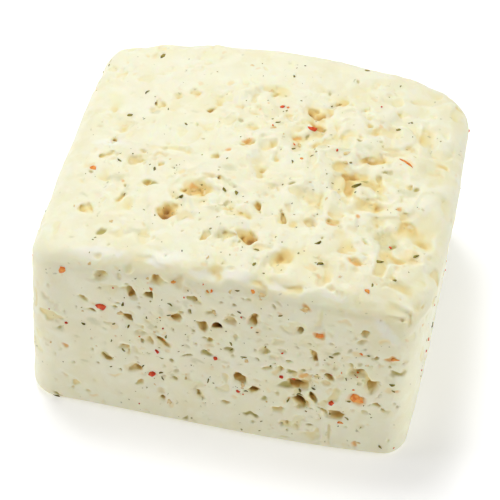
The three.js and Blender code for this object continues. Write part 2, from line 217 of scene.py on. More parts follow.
# Stains that show best, placed to about a millimetre: face, place, length, breadth, tilt in degrees.
SHOWN_STAINS_AND_HIGHLIGHTS = {
    "white": [
        ("top", 1, -23, 6, 5, 0), ("top", -22, -1, 8, 3, 5), ("top", 43, -5, 7, 6, 0),
        ("top", 14, 25, 7, 3, 30),
    ],
    # Lips along the front's upper edge and the top's front edge, and the smear at the front's right: raised,
    # with a painted highlight.
    "lip_highlight": [
        ("front", -39, 52.5, 12, 3, 4), ("front", -29, 53, 10, 3, -4), ("front", -17, 54, 7, 3.5, 3),
        ("front", -5, 53.5, 9, 3, 2), ("front", 3, 54, 8, 2.5, -5), ("front", 13, 53.5, 6, 2.5, 5),
        ("front", 27, 53, 8, 3, -6), ("front", 40.5, 45.5, 13, 3.5, -53), ("top", -15, -37, 12, 6, 0),
        ("top", -33, -38, 14, 4.5, 0), ("top", 3, -39, 11, 3.5, 0),
    ],
    "grey": [
        ("front", -33, 32, 4, 3.5, 0), ("front", -18, 34, 2.5, 2, 0), ("front", -12, 42, 4, 3.5, -30),
        ("front", -42, 27, 3.5, 2.5, 0), ("front", -6, 25, 4, 2, 0), ("front", -36, 17, 2.5, 1.5, 0),
        ("front", -2, 42, 2.5, 2, 40), ("top", 37, -19, 9, 6, -40), ("top", 39, -1, 6, 3.5, 0),
        ("top", -30, 13, 3, 2, 0), ("top", -7, -20, 5, 3, 0), ("top", -25, -30, 5, 3, -10),
        ("top", 20, 8, 6, 2, 20), ("top", -4, -28, 4, 3, 0), ("top", -34, -12, 6, 3, 20),
        ("top", -7, -5, 5, 3, 0),
    ],
    "beige": [
        ("front", 30.5, 47, 4, 2, 0), ("front", 42.5, 25, 3.5, 2, 0), ("front", 14.5, 47, 2, 1.5, 0),
        ("front", -28, 14, 4, 1, 15), ("front", -34, 4.5, 2.5, 1.5, 0), ("front", -13, 7, 3, 3, 0),
        ("front", 14, 26, 2, 2, 0), ("front", -12, 38.5, 3.5, 3, 0), ("front", 35, 36.5, 5.5, 1.5, 0),
        ("front", 40, 42, 3.5, 2, 0), ("front", -32, 38, 3.5, 2, -20), ("top", 37, 9, 6, 1.5, -30),
        ("top", -13, 27, 2, 2.5, 0), ("top", -21, 21, 2, 2.5, 0), ("top", -9, 18, 2, 1.5, 0),
        ("top", -18, -8, 2, 2.5, 0), ("top", 43, -22, 6, 5, 0), ("top", -42, -9, 3, 3, 0),
        ("top", 20, -33, 5, 2, 0), ("top", -5, -38, 2, 1.5, 0),
    ],
    "tan": [
        ("front", -31, 48, 3, 4, 80), ("front", -32, 52, 2.5, 2, 0), ("front", -22, 43, 3, 2.5, -60),
        ("front", -11, 51, 4, 3.5, 0), ("front", 2.5, 41, 4, 2.5, -30), ("front", 8, 43, 3, 3.5, 0),
        ("front", 10, 52, 3.5, 3.5, 0), ("front", -23, 18, 4.5, 3, 20), ("front", -16, 11, 2.5, 2.5, 0),
        ("front", 34, 30, 4.5, 3, 20), ("front", 21, 18, 2, 3, 0), ("front", 35, 41, 4, 1.5, 0),
        ("front", 22, 25, 3, 6, 30), ("top", 27, -26, 5.5, 1.5, 5), ("top", 32, -25, 2.5, 1, 0),
        ("top", 23, -37, 3, 4, 0), ("top", 26, -38, 2, 2, 0), ("top", 17, -19, 3.5, 3, -40),
        ("top", 11, -15, 3, 2, -45), ("top", 18, -13, 2, 1, 0), ("top", 31, -6, 4.5, 1.5, 0),
        ("top", 33, 12, 7, 3, -10), ("top", 32, 20, 3.5, 2, 0), ("top", 9, 6, 3.5, 3, 0),
        ("top", 5, 17, 3, 2, -20), ("top", -31, 14, 3, 2, 0), ("top", -31, -5, 3.5, 2.5, 0),
        ("top", -14, -23, 6, 4, 0), ("top", -25, -3, 6, 1.5, 4), ("top", -11, -9, 3.5, 2.5, 10),
    ],
    "olive": [
        ("front", -23, 45, 3.5, 2, 95), ("front", 2, 31, 2.5, 2.5, 0), ("front", -9, 26, 4, 1, 10),
        ("front", -4, 28, 3.5, 2, 15), ("front", -13, 23, 2.5, 1, -50), ("front", 17, 22, 5, 2, 12),
        ("front", 29, 36, 3, 1.5, 20), ("front", 18, 27, 2.5, 2, -10), ("front", 44, 31, 4.5, 2, 0),
        ("front", -12, 17, 1.5, 1.5, -20), ("front", -8, 42, 1, 2, 0), ("front", 8, 9, 4, 1.5, -10),
        ("front", 23, 9, 2.5, 1, 0), ("front", -44, 2, 3, 1, -5), ("front", -9, 3, 2.5, 1, 45),
        ("top", -33, -31, 2.5, 3, 0), ("top", 38, -20, 2, 3, 0), ("top", 41, 0, 2, 2, 0),
        ("top", -17, -17, 2, 1.5, 20), ("top", 28, 0, 2.5, 2, 20), ("top", 32, 4, 1.5, 1, 0),
        ("top", -25, -13, 4, 1.5, 0), ("top", 24, 13, 1.5, 1, 0), ("top", 10, -7, 2.5, 1, 0),
    ],
    "amber": [
        ("front", 24.5, 41.5, 3.5, 3, 0), ("front", 21, 50, 4, 2, -25), ("front", 21, 26, 2.5, 2.5, 0),
        ("front", 42, 36, 3.5, 2, 20), ("front", -41, 21, 2, 2, 0), ("front", 35, 20.5, 5, 4.5, 0),
        ("front", 35, 4, 2, 2, 0), ("top", 22, -17, 3, 2, 0), ("top", 28, -13, 1.5, 1.5, 0),
        ("top", 38, -8, 2, 1.5, 0), ("top", 8, 10, 2.5, 1.5, 0), ("top", -14, -13, 3, 2.5, -40),
        ("top", -4, 5, 4, 2, 15), ("top", 30, -29, 4.5, 2, 0), ("top", -8, 1, 1.5, 1.5, 0),
    ],
}
# How many more there are on each face, their lengths, and their breadths as shares of the lengths.
STREWN_STAINS_AND_HIGHLIGHTS = {
    "white": ({"front": 60, "top": 190, "back": 60, "left": 30, "right": 20}, (1.6, 5), (0.4, 0.9)),
    "lip_highlight": ({"front": 0}, (3, 6), (0.4, 0.9)),
    "grey": ({"front": 90, "top": 140, "back": 60, "left": 30, "right": 26}, (0.7, 3), (0.4, 0.9)),
    "beige": ({"front": 50, "top": 40, "back": 34, "left": 18, "right": 8}, (0.7, 2.6), (0.4, 0.9)),
    "tan": ({"front": 80, "top": 170, "back": 70, "left": 40, "right": 8}, (0.8, 3), (0.35, 0.9)),
    "olive": ({"front": 80, "top": 60, "back": 60, "left": 30, "right": 16}, (0.6, 2), (0.35, 0.9)),
    "amber": ({"front": 12, "top": 10, "back": 10, "left": 6, "right": 2}, (0.7, 2), (0.4, 0.9)),
}
BARE_TONE = (0.85, 0.75, 0.5)


def between(span, share):
    return span[0] + (span[1] - span[0]) * share


def smooth_step(low, high, x):
    t = np.clip((x - low) / (high - low), 0, 1)
    return t * t * (3 - 2 * t)


def random_from(seed):
    """Numbers from 0 to 1, the same as the solid draws."""
    word = 0xFFFFFFFF
    state = seed

    def draw():
        nonlocal state
        state = (state + 0x6D2B79F5) & word
        t = ((state ^ (state >> 15)) * (state | 1)) & word
        t ^= (t + (((t ^ (t >> 7)) * (t | 61)) & word)) & word
        return (t ^ (t >> 14)) / 2**32

    return draw


def lumps(x, y, z):
    """The soft unevenness of the skin and the swells of the top."""
    wave = np.sin(x / 4.3 + 0.9 * np.sin(y / 6.1)) * np.sin(y / 3.9 + z / 5.7 + 1.3)
    wave = wave + 0.7 * np.sin(x / 2.7 + 2.1 + z / 3.1) * np.sin(y / 2.6 - z / 4.3)
    swell = sum(high * np.exp(-((x - a) ** 2 + (y - b) ** 2) / radius**2) for a, b, radius, high in SWELLS)
    return LUMP * wave * smooth_step(2, 9, z) + swell * smooth_step(0.75 * HEIGHT, 0.9 * HEIGHT, z)


def block(x, y, z):
    """Distance to the uncut block's skin, negative inside, and a point's levelled height and side distance."""
    half_x, half_y = WIDTH / 2, DEPTH / 2
    drop = SIDE_DROP * (x / half_x) ** 2 + BACK_DROP * smooth_step(0, 1, y / half_y)
    level = z * HEIGHT / (HEIGHT - drop)
    lower = 1 - np.clip(level / HEIGHT, -0.2, 1.2)
    flare_x = np.where(x > 0, FLARE_RIGHT, -FLARE_LEFT) * np.minimum(np.abs(x) / half_x, 1.2)
    flare_y = np.where(y > 0, FLARE_BACK, -FLARE_FRONT) * np.minimum(np.abs(y) / half_y, 1.2)
    u = x - flare_x * lower
    v = y - flare_y * lower
    share = np.clip(u / half_x, -1.3, 1.3)
    v = v / (1 + np.where(v > 0, BOW_BACK, BOW_FRONT * (1 + FRONT_SKEW * share)) / half_y * (1 - share**2))
    u = u / (1 + np.where(u > 0, BOW_RIGHT, BOW_LEFT) / half_x * (1 - np.clip(v / half_y, -1.3, 1.3) ** 2))
    back_corner = np.where(u > 0, BACK_RIGHT_RADIUS, BACK_LEFT_RADIUS)
    corner = np.where(v > 0, back_corner, np.where(u > 0, FRONT_RIGHT_RADIUS, FRONT_LEFT_RADIUS))
    qx = np.abs(u) - half_x + corner
    qy = np.abs(v) - half_y + corner
    side = np.hypot(np.maximum(qx, 0), np.maximum(qy, 0)) + np.minimum(np.maximum(qx, qy), 0) - corner
    top_radius = between((TOP_RADIUS_FRONT, TOP_RADIUS_BACK), smooth_step(-0.6, 0.8, v / half_y))
    radius = BASE_RADIUS + (top_radius - BASE_RADIUS) * smooth_step(0.2, 0.8, 1 - lower)
    qs = side + radius
    qz = np.abs(level - HEIGHT / 2) - HEIGHT / 2 + radius
    skin = np.hypot(np.maximum(qs, 0), np.maximum(qz, 0)) + np.minimum(np.maximum(qs, qz), 0) - radius
    return skin - lumps(x, y, z), (level, side)


def lattice_cells(points, size):
    """The lattice cell that each point is in, the place in it, and how many cells the lattice has."""
    scaled = (points - points.min(axis=0)) / size + 1
    cell = np.floor(scaled).astype(np.int32)
    return cell, scaled, tuple(cell.max(axis=0) + 3)


def noise(points, size, seed):
    """Smooth noise from -1 to 1 whose hills are about a size apart."""
    cell, scaled, shape = lattice_cells(points, size)
    values = np.random.default_rng(seed).uniform(-1, 1, shape).astype(np.float32)
    t = smooth_step(0, 1, scaled - cell)
    total = 0
    for corner in itertools.product((0, 1), repeat=3):
        weight = np.prod([t[:, i] if corner[i] else 1 - t[:, i] for i in range(3)], axis=0)
        total = total + weight * values[tuple((cell + corner).T)]
    return total


def worn_corner(points):
    """How far points are into the worn upper corner at the right of the front, from 0 to 1."""
    x, y, z = points.T
    return smooth_step(*WORN_RUN, 0.8 * (x - WORN_X) + 0.6 * (z - WORN_Z)) * smooth_step(*WORN_INWARD, y)


def relief(points, levelled):
    """How far the skin stands out at points near it, and how far into its hollows they are, for the painted
    shade.
    """
    level, side = levelled
    on_top = smooth_step(-2.2, 1.6, (level - HEIGHT) - side)
    bend = np.stack([noise(points, BEND_SIZE, seed) for seed in (1, 2, 3)], axis=1)
    bent = points + BEND * bend
    rough = noise(points, ROUGH_SIZE, 10) + 0.014 * points[:, 0] - 0.008 * points[:, 1]
    rough = smooth_step(-0.5, 0.55, rough)
    crumbly = smooth_step(-0.2, 0.6, noise(points, CRUMBLY_SIZE, 11))
    mounds = noise(bent, MOUND_SIZE, 7)
    knobs = noise(bent, KNOB_SIZE, 8)
    grains = noise(bent, GRAIN_SIZE, 9)
    climb = 1.5 * noise(bent, LEDGE_SIZE, 17)
    climb -= np.floor(climb)
    ledges = smooth_step(0.4, 0.6, climb) - climb
    hollows = smooth_step(0.22, 0.6, noise(bent, HOLLOW_SIZE, 18)) * (0.2 + 0.8 * rough)
    chipped = crumbly * smooth_step(0.3, 0.5, noise(bent, CHIP_SIZE, 20))
    top = (0.1 + 0.65 * rough) * mounds + (0.1 + 0.22 * rough + 0.28 * crumbly) * knobs
    top += (0.05 + 0.05 * rough + 0.16 * crumbly) * grains
    top += 0.5 * rough * ledges - 0.5 * hollows - 0.35 * chipped
    moulded = 0.12 * mounds + (0.06 + 0.1 * crumbly) * knobs - 0.4 * chipped
    above_base = smooth_step(0.6, 4, points[:, 2])
    height = (on_top * top + (1 - on_top) * moulded) * above_base
    sunk = on_top * (0.8 * hollows + 0.5 * chipped) + (1 - on_top) * 0.7 * chipped
    return height, sunk * above_base


def grit(points, depth):
    """Fine unevenness along the surface's own direction, more in the openings than on the skin."""
    buried = smooth_step(0.25, 1.2, depth)
    skin = 0.05 * noise(points, 1.9, 13) + 0.03 * noise(points, 0.95, 14)
    broken = 0.16 * noise(points, 1.4, 15) + 0.08 * noise(points, 0.8, 16)
    return (skin + buried * broken) * smooth_step(0.6, 3, points[:, 2])


def facets(rng, count=9):
    """Outward directions and distances of the flat walls of one opening, in units of its half sizes."""
    walls = rng.normal(size=(count, 3))
    walls /= np.linalg.norm(walls, axis=1)[:, None]
    walls = np.vstack([walls, np.eye(3), -np.eye(3)])
    return walls, np.concatenate([rng.uniform(0.5, 0.95, count), np.ones(6)])


def strew(name, count, taken, clearance, draw):
    """Places strewn over one face, each at least a clearance from every mark there so far."""
    _, half_width, low, high = FACES[name]
    found = []
    while len(found) < count:
        place = (between((-half_width, half_width), draw()), between((low, high), draw()))
        if all(math.dist(place, other) > clearance for other in taken):
            taken.append(place)
            found.append(place)
    return found


def strewn_marks():
    """The solid's strewn openings on each face: their places and sizes."""
    draw = random_from(PLACE_SEED)
    marks = {}
    for name, (opening_count, bit_count) in STREWN.items():
        taken = [row[:2] for row in OPENINGS.get(name, [])] + list(SOLID_BITS.get(name, []))
        opening_places = strew(name, opening_count, taken, OPENING_CLEARANCE, draw)
        bit_places = strew(name, bit_count, taken, BIT_CLEARANCE, draw)
        openings = []
        for place in opening_places:
            length = between(STREWN_LENGTH, draw() ** 2)
            breadth = length * between(STREWN_BREADTH, draw())
            openings.append((*place, length, breadth, between(STREWN_DEPTH, draw()), 180 * draw()))
        marks[name] = openings
        # The solid draws each bit's length and breadth here, so that the next face's draws come after them.
        for _ in bit_places:
            draw()
            draw()
    return marks


def crowding(name, place):
    """The chance that a small mark at a place is kept."""
    near = sum(math.exp(-(math.dist(place, (a, b)) / radius) ** 2) for a, b, radius in CROWDED.get(name, []))
    return min(1, SPARSE + near) if name in CROWDED else 1


def fine_openings(rng):
    """Small openings on every face: rows as in OPENINGS, after the face."""
    found = []
    for name, count in FINE_OPENINGS.items():
        _, half_width, low, high = FACES[name]
        made = 0
        while made < count:
            place = (rng.uniform(-half_width - 3, half_width + 3), rng.uniform(low - 3, high + 3))
            if rng.random() > crowding(name, place):
                continue
            length = between(FINE_LENGTH, rng.random() ** 2.2)
            breadth = length * between(FINE_BREADTH, rng.random())
            depth = length * between(FINE_DEPTH, rng.random())
            found.append((name, *place, length, breadth, depth, rng.uniform(0, 180)))
            made += 1
    return found


def place_on(name, a, b):
    if name == "top":
        return np.array([a, b, HEIGHT / 2])
    if name in ("left", "right"):
        return np.array([0, a, b])
    return np.array([a, 0, b])


def outward(points):
    """The uncut skin's outward directions at points."""
    nudges = 0.2 * np.eye(3)
    slopes = [block(*(points + n).T)[0] - block(*(points - n).T)[0] for n in nudges]
    return np.stack(slopes, axis=1) / np.linalg.norm(slopes, axis=0)[:, None]


def skin_places(rows):
    """Points on the uncut skin, straight out from rows of a face and a place on it."""
    faces = np.array([FACES[name][0] for name, *_ in rows], float)
    start = np.array([place_on(name, a, b) for name, a, b, *_ in rows])
    low, high = np.zeros(len(rows)), np.full(len(rows), float(WIDTH))
    for _ in range(HALVINGS):
        middle = (low + high) / 2
        inside = block(*(start + faces * middle[:, None]).T)[0] < 0
        low = np.where(inside, middle, low)
        high = np.where(inside, high, middle)
    return start + faces * high[:, None]


def turned(name, out, tilt):
    """Directions along and across a face's skin at a place, turned by tilt degrees from level."""
    face = FACES[name][0]
    level = np.array([1.0, 0, 0]) if name == "top" else np.array([-face[1], face[0], 0.0])
    level -= level.dot(out) * out
    level /= np.linalg.norm(level)
    upward = np.cross(out, level)
    angle = math.radians(tilt)
    along = level * math.cos(angle) + upward * math.sin(angle)
    return along, np.cross(out, along)


class Grid:
    """Distances on a grid of points round the block."""

    def __init__(self):
        reach = [size + past for size, past in zip((WIDTH / 2, DEPTH / 2, HEIGHT), PAST_SIZES)]
        lows = [-reach[0] - MARGIN, -reach[1] - MARGIN, -MARGIN]
        highs = [reach[0] + MARGIN, reach[1] + MARGIN, reach[2] + MARGIN]
        self.axes = [np.arange(low, high, STEP, dtype=np.float32) for low, high in zip(lows, highs)]
        self.low = np.array([axis[0] for axis in self.axes])
        self.values = block(*np.meshgrid(*self.axes, indexing="ij", sparse=True))[0]

    def cut(self, centre, axes, half, slant, rng, rim):
        """Takes a flat-walled opening out of the block, with its rim rounded by about rim.

        It lies along three axes, the last of them outward, and drifts sideways by slant as it goes in.
        """
        reach = max(half) + 1
        first = np.maximum(((centre - reach - self.low) / STEP).astype(int), 0)
        last = ((centre + reach - self.low) / STEP).astype(int) + 2
        part = tuple(slice(a, b) for a, b in zip(first, last))
        grids = np.meshgrid(*(axis[s] for axis, s in zip(self.axes, part)), indexing="ij")
        away = np.stack(grids, axis=-1) - centre
        for turns, most in WALL_BENDS:
            away += most * np.sin(away @ rng.uniform(-turns, turns, (3, 3)) + rng.uniform(0, 6, 3))
        local = away @ axes
        local[..., :2] += local[..., 2:] * slant
        local /= half
        walls, offsets = facets(rng)
        steepness = np.linalg.norm(walls / half, axis=1)
        inside = ((local @ walls.T - offsets) / steepness).max(axis=-1)
        block_part = self.values[part]
        blend = np.maximum(rim - np.abs(block_part + inside), 0)
        self.values[part] = np.maximum(block_part, -inside) + blend**2 / (4 * rim)

    def surface(self):
        """Points and quads on the skin, by averaging the crossings of each cell's edges."""
        field = self.values
        inside = field < 0
        cells = tuple(n - 1 for n in field.shape)
        count = np.zeros(cells, np.int8)
        for corner in itertools.product((0, 1), repeat=3):
            count += inside[tuple(slice(c, c + n) for c, n in zip(corner, cells))]
        mixed = (count > 0) & (count < 8)
        where = np.argwhere(mixed)
        number = np.full(cells, -1, np.int32)
        number[mixed] = np.arange(len(where))
        total = np.zeros((len(where), 3))
        crossings = np.zeros(len(where))
        for axis in range(3):
            for sides in itertools.product((0, 1), repeat=2):
                start = np.insert(np.array(sides), axis, 0)
                end = start.copy()
                end[axis] = 1
                a = field[tuple((where + start).T)]
                b = field[tuple((where + end).T)]
                crossed = (a < 0) != (b < 0)
                share = np.where(crossed, a / np.where(crossed, a - b, 1), 0)
                spot = start + share[:, None] * (end - start)
                total += np.where(crossed[:, None], spot, 0)
                crossings += crossed
        points = (where + total / crossings[:, None]) * STEP + self.low
        quads = []
        for axis in range(3):
            others = [i for i in range(3) if i != axis]
            near = [slice(1, -1)] * 3
            near[axis] = slice(0, -1)
            far = list(near)
            far[axis] = slice(1, None)
            changed = inside[tuple(near)] != inside[tuple(far)]
            at = np.argwhere(changed)
            at[:, others] += 1
            outward = inside[tuple(near)][changed]
            ring = []
            for da, db in ((0, 0), (1, 0), (1, 1), (0, 1)):
                spot = at.copy()
                spot[:, others[0]] -= da
                spot[:, others[1]] -= db
                ring.append(number[tuple(spot.T)])
            ring = np.stack(ring, axis=1)
            flip = outward if axis != 1 else ~outward
            ring[~flip] = ring[~flip][:, ::-1]
            quads.append(ring)
        return points, np.vstack(quads).tolist()


def mesh_object(name, points, faces):
    """An object from points in millimetres."""
    mesh = bpy.data.meshes.new(name)
    mesh.from_pydata((np.asarray(points) * METRE).tolist(), [], faces)
    mesh.validate()
    thing = bpy.data.objects.new(name, mesh)
    bpy.context.scene.collection.objects.link(thing)
    return thing


def apply_modifiers(thing):
    """Replaces a thing's mesh by the one that its modifiers make."""
    evaluated = thing.evaluated_get(bpy.context.evaluated_depsgraph_get())
    mesh = bpy.data.meshes.new_from_object(evaluated)
    thing.modifiers.clear()
    thing.data = mesh
    mesh.name = thing.name


def vertex_array(mesh):
    points = np.empty(len(mesh.vertices) * 3, np.float32)
    mesh.vertices.foreach_get("co", points)
    return points.reshape(-1, 3)


def opening_rows(rng):
    """Every opening of the block: face, place, length, breadth, depth and tilt."""
    marks = strewn_marks()
    rows = [(name, *row) for name, shown in OPENINGS.items() for row in shown]
    rows += [(name, *row) for name, openings in marks.items() for row in openings]
    return rows + fine_openings(rng)


def cut_openings(grid, rng):
    """Cuts each opening as a shallow scoop, and most of the longer ones with a deeper pocket in it."""
    rows = opening_rows(rng)
    points = skin_places(rows)
    for (name, _, _, length, breadth, depth, tilt), point, out in zip(rows, points, outward(points)):
        along, across = turned(name, out, tilt)
        axes = np.stack([along, across, out], axis=1)
        half = np.array([length / 2, breadth / 2, depth * DEEPER.get(name, 1)])
        rim = RIM_TOP if name == "top" else RIM_SIDE
        slant = rng.uniform(-SLANT, SLANT, 2)
        pocket = length > POCKET_LENGTH and rng.random() < POCKET_SHARE
        scoop = half * SCOOP if pocket else half
        grid.cut(point, axes, scoop, slant, rng, rim)
        if pocket:
            shift = along * length * rng.uniform(-0.2, 0.2) + across * breadth * rng.uniform(-0.15, 0.15)
            narrow = half * (rng.uniform(0.5, 0.75), rng.uniform(0.5, 0.8), 1)
            grid.cut(point + shift, axes, narrow, slant, rng, rim * 0.7)


def stains_and_highlights(places, rng):
    """The colour and strength of the stains, and of the painted highlight on the lips, at places near the
    skin, and how far they dip there.
    """
    rows, looks = [], []
    for tone, (colour, dip, strengths) in STAIN_AND_HIGHLIGHT_TONES.items():
        strewn = scatter(rng, *STREWN_STAINS_AND_HIGHLIGHTS[tone])
        rows += SHOWN_STAINS_AND_HIGHLIGHTS[tone] + strewn
        looks += [(colour, dip, strengths[1])] * len(SHOWN_STAINS_AND_HIGHLIGHTS[tone])
        looks += [(colour, 0.7 * dip, rng.uniform(*strengths)) for _ in strewn]
    order = np.argsort(places[:, 0])
    sorted_x = places[order, 0]
    colours = np.zeros((len(places), 3))
    strength = np.zeros(len(places))
    depth = np.zeros(len(places))
    points = skin_places(rows)
    for row, point, out, (colour, dip, most) in zip(rows, points, outward(points), looks):
        name, _, _, length, breadth, tilt = row
        along, across = turned(name, out, tilt)
        near = order[slice(*np.searchsorted(sorted_x, (point[0] - length, point[0] + length)))]
        away = places[near] - point
        away += 0.14 * min(length, 3) * np.sin(away @ rng.uniform(-2.2, 2.2, (3, 3)) + rng.uniform(0, 6, 3))
        distance = np.hypot(away @ along / length, away @ across / breadth)
        distance = 2 * np.hypot(distance, away @ out / length)
        amount = 1 - smooth_step(0.45, 1.15, distance)
        depth[near] = np.maximum(depth[near], dip * amount) if dip > 0 else depth[near] + dip * amount
        amount *= most
        colours[near] += amount[:, None] * (np.array(colour) - colours[near])
        strength[near] += amount * (1 - strength[near])
    colours /= np.maximum(strength, 0.01)[:, None]
    colours += np.maximum(1 - 100 * strength, 0)[:, None] * BARE_TONE
    return np.column_stack([colours, strength]), depth


def cheese_block():
    """The block with its openings, the relief of its skin and its stains."""
    grid = Grid()
    cut_openings(grid, np.random.default_rng(OPENING_SEED))
    points, quads = grid.surface()
    thing = mesh_object("cheese_block", points, quads)
    soften = thing.modifiers.new("soften", "SMOOTH")
    soften.factor = 0.4
    soften.iterations = 1
    apply_modifiers(thing)
    mesh = thing.data
    places = vertex_array(mesh) / METRE
    normals = np.empty(places.size, np.float32)
    mesh.vertex_normals.foreach_get("vector", normals)
    skin, levelled = block(*places.T)
    height, sunk = relief(places, levelled)
    tint, dip = stains_and_highlights(places, np.random.default_rng(STAIN_SEED))
    # Depth for the painted shade: how far a point lies under the uncut skin, plus the low parts and the
    # hollows of the relief.
    painted_shade_depth = np.maximum(-skin, 0) + 0.6 * np.maximum(-height, 0) + HOLLOW_SHADE_DEPTH * sunk
    height -= dip * (skin > -0.8) + WORN_DEPTH * worn_corner(places)
    places += outward(places) * height[:, None] + normals.reshape(-1, 3) * grit(places, -skin)[:, None]
    places[:, 2] = np.maximum(places[:, 2], 0)
    mesh.vertices.foreach_set("co", (places * METRE).astype(np.float32).ravel())
    painted_shade_data = mesh.attributes.new("painted_shade_depth", "FLOAT", "POINT").data
    painted_shade_data.foreach_set("value", painted_shade_depth.astype(np.float32))
    stain_and_highlight_data = mesh.attributes.new("stain_and_highlight", "FLOAT_COLOR", "POINT").data
    stain_and_highlight_data.foreach_set("color", tint.astype(np.float32).ravel())
    thin = thing.modifiers.new("thin", "DECIMATE")
    thin.ratio = min(1, MOST_TRIANGLES / (2 * len(quads)))
    apply_modifiers(thing)
    thing.data.shade_smooth()
    return thing


# Materials.


def new_material(name):
    material = bpy.data.materials.new(name)
    material.use_nodes = True
    nodes = material.node_tree.nodes
    return material, nodes, material.node_tree.links, nodes["Principled BSDF"]


def texture(nodes, links, kind, coordinates, **settings):
    """A procedural texture on coordinates. Settings are its inputs by name."""
    made = nodes.new(kind)
    links.new(coordinates, made.inputs["Vector"])
    for key, value in settings.items():
        made.inputs[key.replace("_", " ").title()].default_value = value
    return made


def stretch(nodes, links, value, low, high, to_low=0.0, to_high=1.0):
    """A value stretched smoothly from one range to another."""
    made = nodes.new("ShaderNodeMapRange")
    made.interpolation_type = "SMOOTHSTEP"
    links.new(value, made.inputs["Value"])
    for key, number in zip(("From Min", "From Max", "To Min", "To Max"), (low, high, to_low, to_high)):
        made.inputs[key].default_value = number
    return made.outputs["Result"]


def multiply(nodes, links, a, b):
    made = nodes.new("ShaderNodeMath")
    made.operation = "MULTIPLY"
    for socket, value in zip(made.inputs, (a, b)):
        if isinstance(value, (int, float)):
            socket.default_value = value
        else:
            links.new(value, socket)
    return made.outputs[0]


def blend_colour(nodes, links, amount, a, b):
    """Colour a turned towards colour b by amount. Each is a colour or a socket."""
    made = nodes.new("ShaderNodeMix")
    made.data_type = "RGBA"
    links.new(amount, made.inputs["Factor"])
    for key, value in (("A", a), ("B", b)):
        socket = [s for s in made.inputs if s.name == key and s.type == "RGBA"][0]
        if isinstance(value, tuple):
            socket.default_value = (*value, 1)
        else:
            links.new(value, socket)
    return [s for s in made.outputs if s.type == "RGBA"][0]


def ramp(nodes, links, value, stops):
    made = nodes.new("ShaderNodeValToRGB")
    links.new(value, made.inputs["Fac"])
    elements = made.color_ramp.elements
    while len(elements) < len(stops):
        elements.new(1)
    for element, (place, colour) in zip(elements, stops):
        element.position = place
        element.color = (*colour, 1)
    return made.outputs["Color"]


# Colours of the curd, from its bare skin down into its openings, with how far down that is from 0 to 1: below
# the skin they are painted shade, warmer and darker the deeper.
CURD_AND_SHADE_TONES = [
    (0, (0.93, 0.905, 0.7)),
    (0.08, (0.91, 0.87, 0.6)),
    (0.22, (0.87, 0.74, 0.36)),
    (0.42, (0.76, 0.52, 0.17)),
    (0.7, (0.44, 0.22, 0.05)),
    (1, (0.14, 0.055, 0.015)),
]
# The depth in millimetres that counts as 1 in the painted shade, and how much less or more it counts from
# patch to patch.
HOLLOW_DEPTH = 3.4
HOLLOW_STRENGTHS = (0.55, 1.25)
# Drifts of tone over the bare curd: noise scale, its range that blends in, most strength, colour.
DRIFTS = [
    (90.0, 0.42, 0.68, 0.6, (0.88, 0.84, 0.58)),
    (260.0, 0.48, 0.66, 0.6, (0.955, 0.938, 0.75)),
]
# Soft spots: cells to the metre, size, share of the cells that stay bare, most strength, colour.
SOFT_SPOTS = [
    (210.0, 0.2, 0.8, 0.4, (0.84, 0.56, 0.26)),
    (300.0, 0.22, 0.74, 0.5, (0.6, 0.58, 0.33)),
    (420.0, 0.22, 0.84, 0.7, (0.36, 0.36, 0.2)),
]


